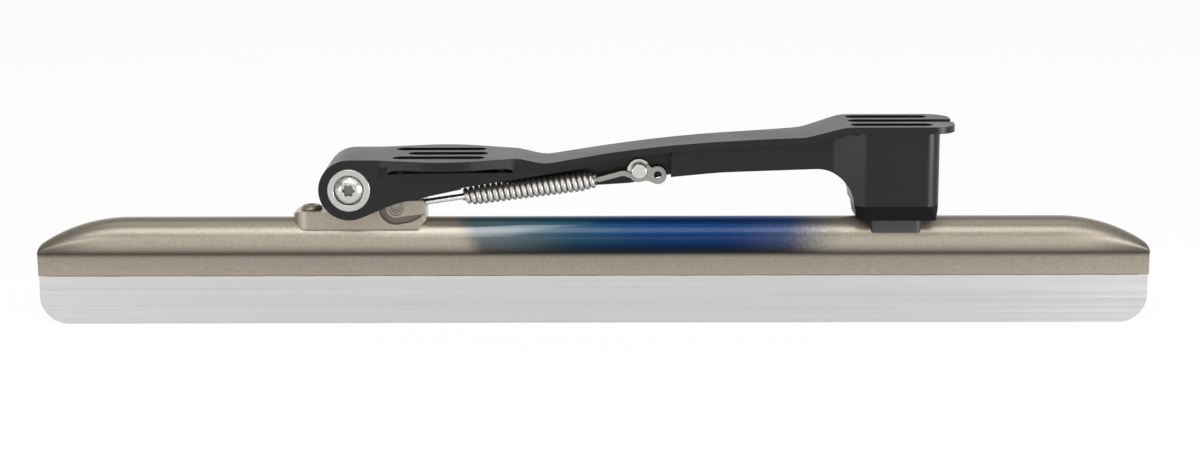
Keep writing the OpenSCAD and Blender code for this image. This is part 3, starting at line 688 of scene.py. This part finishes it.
def cutHook(h, s):
    strip = bpy.data.curves.new("hookStrip", "CURVE")
    strip.dimensions = "2D"
    strip.fill_mode = "BOTH"
    strip.extrude = h["thickness"] / 2 - h["edge"]
    strip.bevel_depth = h["edge"]
    strip.bevel_resolution = h["edgeSteps"]
    strip.offset = -h["edge"]
    for loop in (hookOutline(h, s), arc(h["tab"], h["hole"], 0, 360 - h["arcStep"], h["arcStep"])):
        edge = strip.splines.new("POLY")
        edge.points.add(len(loop) - 1)
        edge.use_cyclic_u = True
        for point, (along, across) in zip(edge.points, loop):
            point.co = (along, across, 0, 1)
    blank = bpy.data.objects.new("hookStrip", strip)
    scene.collection.objects.link(blank)
    mesh = bpy.data.meshes.new_from_object(blank.evaluated_get(bpy.context.evaluated_depsgraph_get()))
    bpy.data.objects.remove(blank)
    bpy.data.curves.remove(strip)
    mesh.name = "pullHook"
    place = springLine(s) @ Matrix.Translation((h["pinAt"] / 1000, 0, 0))
    mesh.transform(place @ Matrix.Rotation(math.radians(90), 4, "X") @ Matrix.Scale(0.001, 4))
    seams = bmesh.new()
    seams.from_mesh(mesh)
    bmesh.ops.remove_doubles(seams, verts=seams.verts, dist=h["seam"])
    bmesh.ops.recalc_face_normals(seams, faces=seams.faces)
    seams.to_mesh(mesh)
    seams.free()
    mesh.materials.clear()
    mesh.materials.append(materials["hookSteel"])
    mesh.polygons.foreach_set("use_smooth", [True] * len(mesh.polygons))
    hook = bpy.data.objects.new("pullHook", mesh)
    scene.collection.objects.link(hook)
    shadeEvenly(hook)
    return hook


flatHook = cutHook(pullHook, spring)
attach(flatHook, "spring_hook")
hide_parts("spring_hook")
print("hook cut:", len(flatHook.data.polygons), "faces")


# tube and holder as one drawn skin: at both ends the tube runs down to the holder in a round nose
holder = {
    "foot": 0.018,
    "bevel": 0.0004,
    "legHalf": 0.00165,
    "slotHalf": 0.0006,
    "slotTop": 0.02455,
    "crease": 0.026,
    "axis": 0.0328027,
    "radius": 0.007,
    "noseCentre": (0.169, -0.0181973),
    "noseRadius": 0.058,
    "tipCentre": (0.1985, 0.02643),
    "tipRadius": 0.00449995,
    "noseSteps": 22,
    "tipSteps": 9,
    "middleSteps": 26,
    "roundSteps": 84,
    "narrowing": 0.64,  # how fast the nose narrows as it gets lower
    "sharp": 38,
}


def noseRidge(h):
    centre, tip = Vector(h["noseCentre"]), Vector(h["tipCentre"])
    turn = math.atan2(*(tip - centre))
    ridge = []
    for i in range(h["noseSteps"]):
        a = turn * i / h["noseSteps"]
        ridge.append(centre + h["noseRadius"] * Vector((math.sin(a), math.cos(a))))
    for i in range(h["tipSteps"] + 1):
        a = turn + (math.pi / 2 - turn) * i / h["tipSteps"]
        ridge.append(tip + h["tipRadius"] * Vector((math.sin(a), math.cos(a))))
    return [tuple(point) for point in ridge]


def holderSection(h, top):
    crown, crease, lowest = h["axis"] + h["radius"], h["crease"], h["tipCentre"][1]
    share = (top - crease) / (crown - crease)
    narrow = max(0.0, (top - lowest) / (crown - lowest)) ** h["narrowing"]
    foot, bevel = h["foot"], h["bevel"]
    leg, slot = h["legHalf"], h["slotHalf"]
    widest = leg + (h["radius"] - leg) * narrow
    last = math.pi - math.asin(leg / h["radius"])
    section = [(slot, h["slotTop"]), (slot, foot), (leg - bevel, foot), (leg, foot + bevel)]
    for i in range(h["roundSteps"] + 1):
        a = last * (1 - 2 * i / h["roundSteps"])
        across = widest * math.sin(a)
        if abs(a) >= math.pi / 2:
            across = h["radius"] * math.sin(a)
            across = math.copysign(leg + (abs(across) - leg) * narrow, across)
        section.append((across, crease + (h["axis"] + h["radius"] * math.cos(a) - crease) * share))
    section += [(-leg, foot + bevel), (bevel - leg, foot), (-slot, foot), (-slot, h["slotTop"])]
    return section


def drawHolder(h):
    nose = noseRidge(h)
    start, top = nose[0]
    stations = [(-x, z) for x, z in reversed(nose)]
    stations += [(-start + 2 * start * i / h["middleSteps"], top) for i in range(1, h["middleSteps"])]
    stations += nose
    rings = [[(x, across, up) for across, up in holderSection(h, z)] for x, z in stations]
    tube = skinRings("lacqueredTube", rings, "tubeLacquer")
    tube.data.set_sharp_from_angle(angle=math.radians(h["sharp"]))
    return tube


lacqueredTube = drawHolder(holder)
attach(lacqueredTube, "blade")
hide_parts("blade_tube")
print("tube drawn:", len(lacqueredTube.data.polygons), "faces")


# adhesive squeezed out where the runner goes into its holder, dark so that it is also painted shadow along the
# holder's lower edge
glueAndShadowBead = {
    "z": 0.01796,
    "y": 0.00068,
    "halfLength": 0.2005,
    "radius": 0.00022,
    "waver": 0.00006,
    "waves": ((1.0, 0.9, 1), (0.6, 0.37, 2), (0.5, 2.3, 0)),  # height, rate, shift between the sides
    "step": 0.0025,
    "sides": 8,
}


def layBead(name, side, look):
    turns = [-2 * math.pi * k / look["sides"] for k in range(look["sides"])]
    highest = sum(height for height, rate, shift in look["waves"])
    rings = []
    for i in range(round(2 * look["halfLength"] / look["step"]) + 1):
        x = -look["halfLength"] + i * look["step"]
        wave = sum(height * math.sin(i * rate + shift * side) for height, rate, shift in look["waves"])
        radius = look["radius"] + look["waver"] * wave / highest
        rings.append([(x, side * look["y"] + radius * math.cos(a), look["z"] + radius * math.sin(a)) for a in turns])
    bead = skinRings(name, rings, "glueAndShadowLine")
    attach(bead, "blade")


layBead("glueAndShadowBeadLeft", -1, glueAndShadowBead)
layBead("glueAndShadowBeadRight", 1, glueAndShadowBead)
print("adhesive beads laid")


# plain pale floor, white where it is seen, with a soft shadow
floorLook = {"size": 8.0, "drop": 0.0001, "colour": 0.85, "glow": 0.925, "shadowShare": 0.105}


def layFloor(look):
    half = look["size"] / 2
    mesh = bpy.data.meshes.new("paleFloor")
    corners = [(-half, -half, 0), (half, -half, 0), (half, half, 0), (-half, half, 0)]
    mesh.from_pydata(corners, [], [(0, 1, 2, 3)])
    floor = bpy.data.objects.new("paleFloor", mesh)
    floor.location.z = -look["drop"]
    scene.collection.objects.link(floor)
    material, tree = newMaterial("paleFloor")
    plain = addNode(tree, "ShaderNodeBsdfDiffuse")
    plain.inputs[0].default_value = (look["colour"],) * 3 + (1.0,)
    faint = addNode(tree, "ShaderNodeBsdfDiffuse")
    faint.inputs[0].default_value = (look["shadowShare"],) * 3 + (1.0,)
    glow = addNode(tree, "ShaderNodeEmission")
    glow.inputs[1].default_value = look["glow"]
    seen = addNode(tree, "ShaderNodeAddShader")
    feed(tree, seen.inputs[0], glow.outputs[0])
    feed(tree, seen.inputs[1], faint.outputs[0])
    rays = addNode(tree, "ShaderNodeLightPath").outputs
    viewed = calc(tree, "MAXIMUM", rays["Is Camera Ray"], rays["Is Glossy Ray"])
    viewed = calc(tree, "MAXIMUM", viewed, rays["Is Transmission Ray"])
    both = addNode(tree, "ShaderNodeMixShader")
    feed(tree, both.inputs[0], viewed)
    feed(tree, both.inputs[1], plain.outputs[0])
    feed(tree, both.inputs[2], seen.outputs[0])
    output = addNode(tree, "ShaderNodeOutputMaterial")
    feed(tree, output.inputs["Surface"], both.outputs[0])
    mesh.materials.append(material)


# soft studio light: a room that is bright behind the blade and dim in front, and softboxes
roomLight = {"back": 1.2, "front": 0.26, "frontToBack": (-0.5, 0.6), "above": 0.2, "reach": 0.9}
softboxes = {
    "frontBox": {"at": (0.0, -0.8, 0.72), "aim": (0.0, 0.0, 0.04), "size": (1.6, 0.55), "power": 5.0},
    "keyBox": {"at": (-0.1, -0.79, 0.66), "aim": (-0.04, 0.0, 0.04), "size": (0.1, 1.5), "power": 2.0},
    "overheadBox": {"at": (0.0, 0.0, 1.0), "aim": (0.0, 0.0, 0.04), "size": (1.2, 0.5), "power": 1.0},
    "leftBox": {"at": (-0.64, -0.6, 0.06), "aim": (-0.05, 0.0, 0.06), "size": (0.3, 0.1), "power": 1.2},
    "rightBox": {"at": (0.68, -0.46, 0.06), "aim": (0.1, 0.0, 0.06), "size": (0.3, 0.1), "power": 3.4},
}


def lightRoom(look):
    world = bpy.data.worlds.new("paleRoom")
    scene.world = world
    world.use_nodes = True
    tree = world.node_tree
    tree.nodes.clear()
    direction = axes(tree, addNode(tree, "ShaderNodeTexCoord").outputs["Generated"])
    wall = ramp(tree, direction[1], *look["frontToBack"], look["front"], look["back"], True)
    grey = ramp(tree, direction[2], 0.0, look["reach"], wall, look["above"], True)
    tone = addNode(tree, "ShaderNodeCombineColor")
    for i in range(3):
        feed(tree, tone.inputs[i], grey)
    background = addNode(tree, "ShaderNodeBackground")
    feed(tree, background.inputs[0], tone.outputs[0])
    output = addNode(tree, "ShaderNodeOutputWorld")
    feed(tree, output.inputs[0], background.outputs[0])


def hangSoftbox(name, look):
    data = bpy.data.lights.new(name, "AREA")
    data.shape = "RECTANGLE"
    data.size, data.size_y = look["size"]
    data.energy = look["power"]
    lamp = bpy.data.objects.new(name, data)
    lamp.location = look["at"]
    toBlade = Vector(look["aim"]) - Vector(look["at"])
    lamp.rotation_euler = toBlade.to_track_quat("-Z", "Y").to_euler()
    scene.collection.objects.link(lamp)


layFloor(floorLook)
lightRoom(roomLight)
for boxName, boxLook in softboxes.items():
    hangSoftbox(boxName, boxLook)
print("floor and light set")
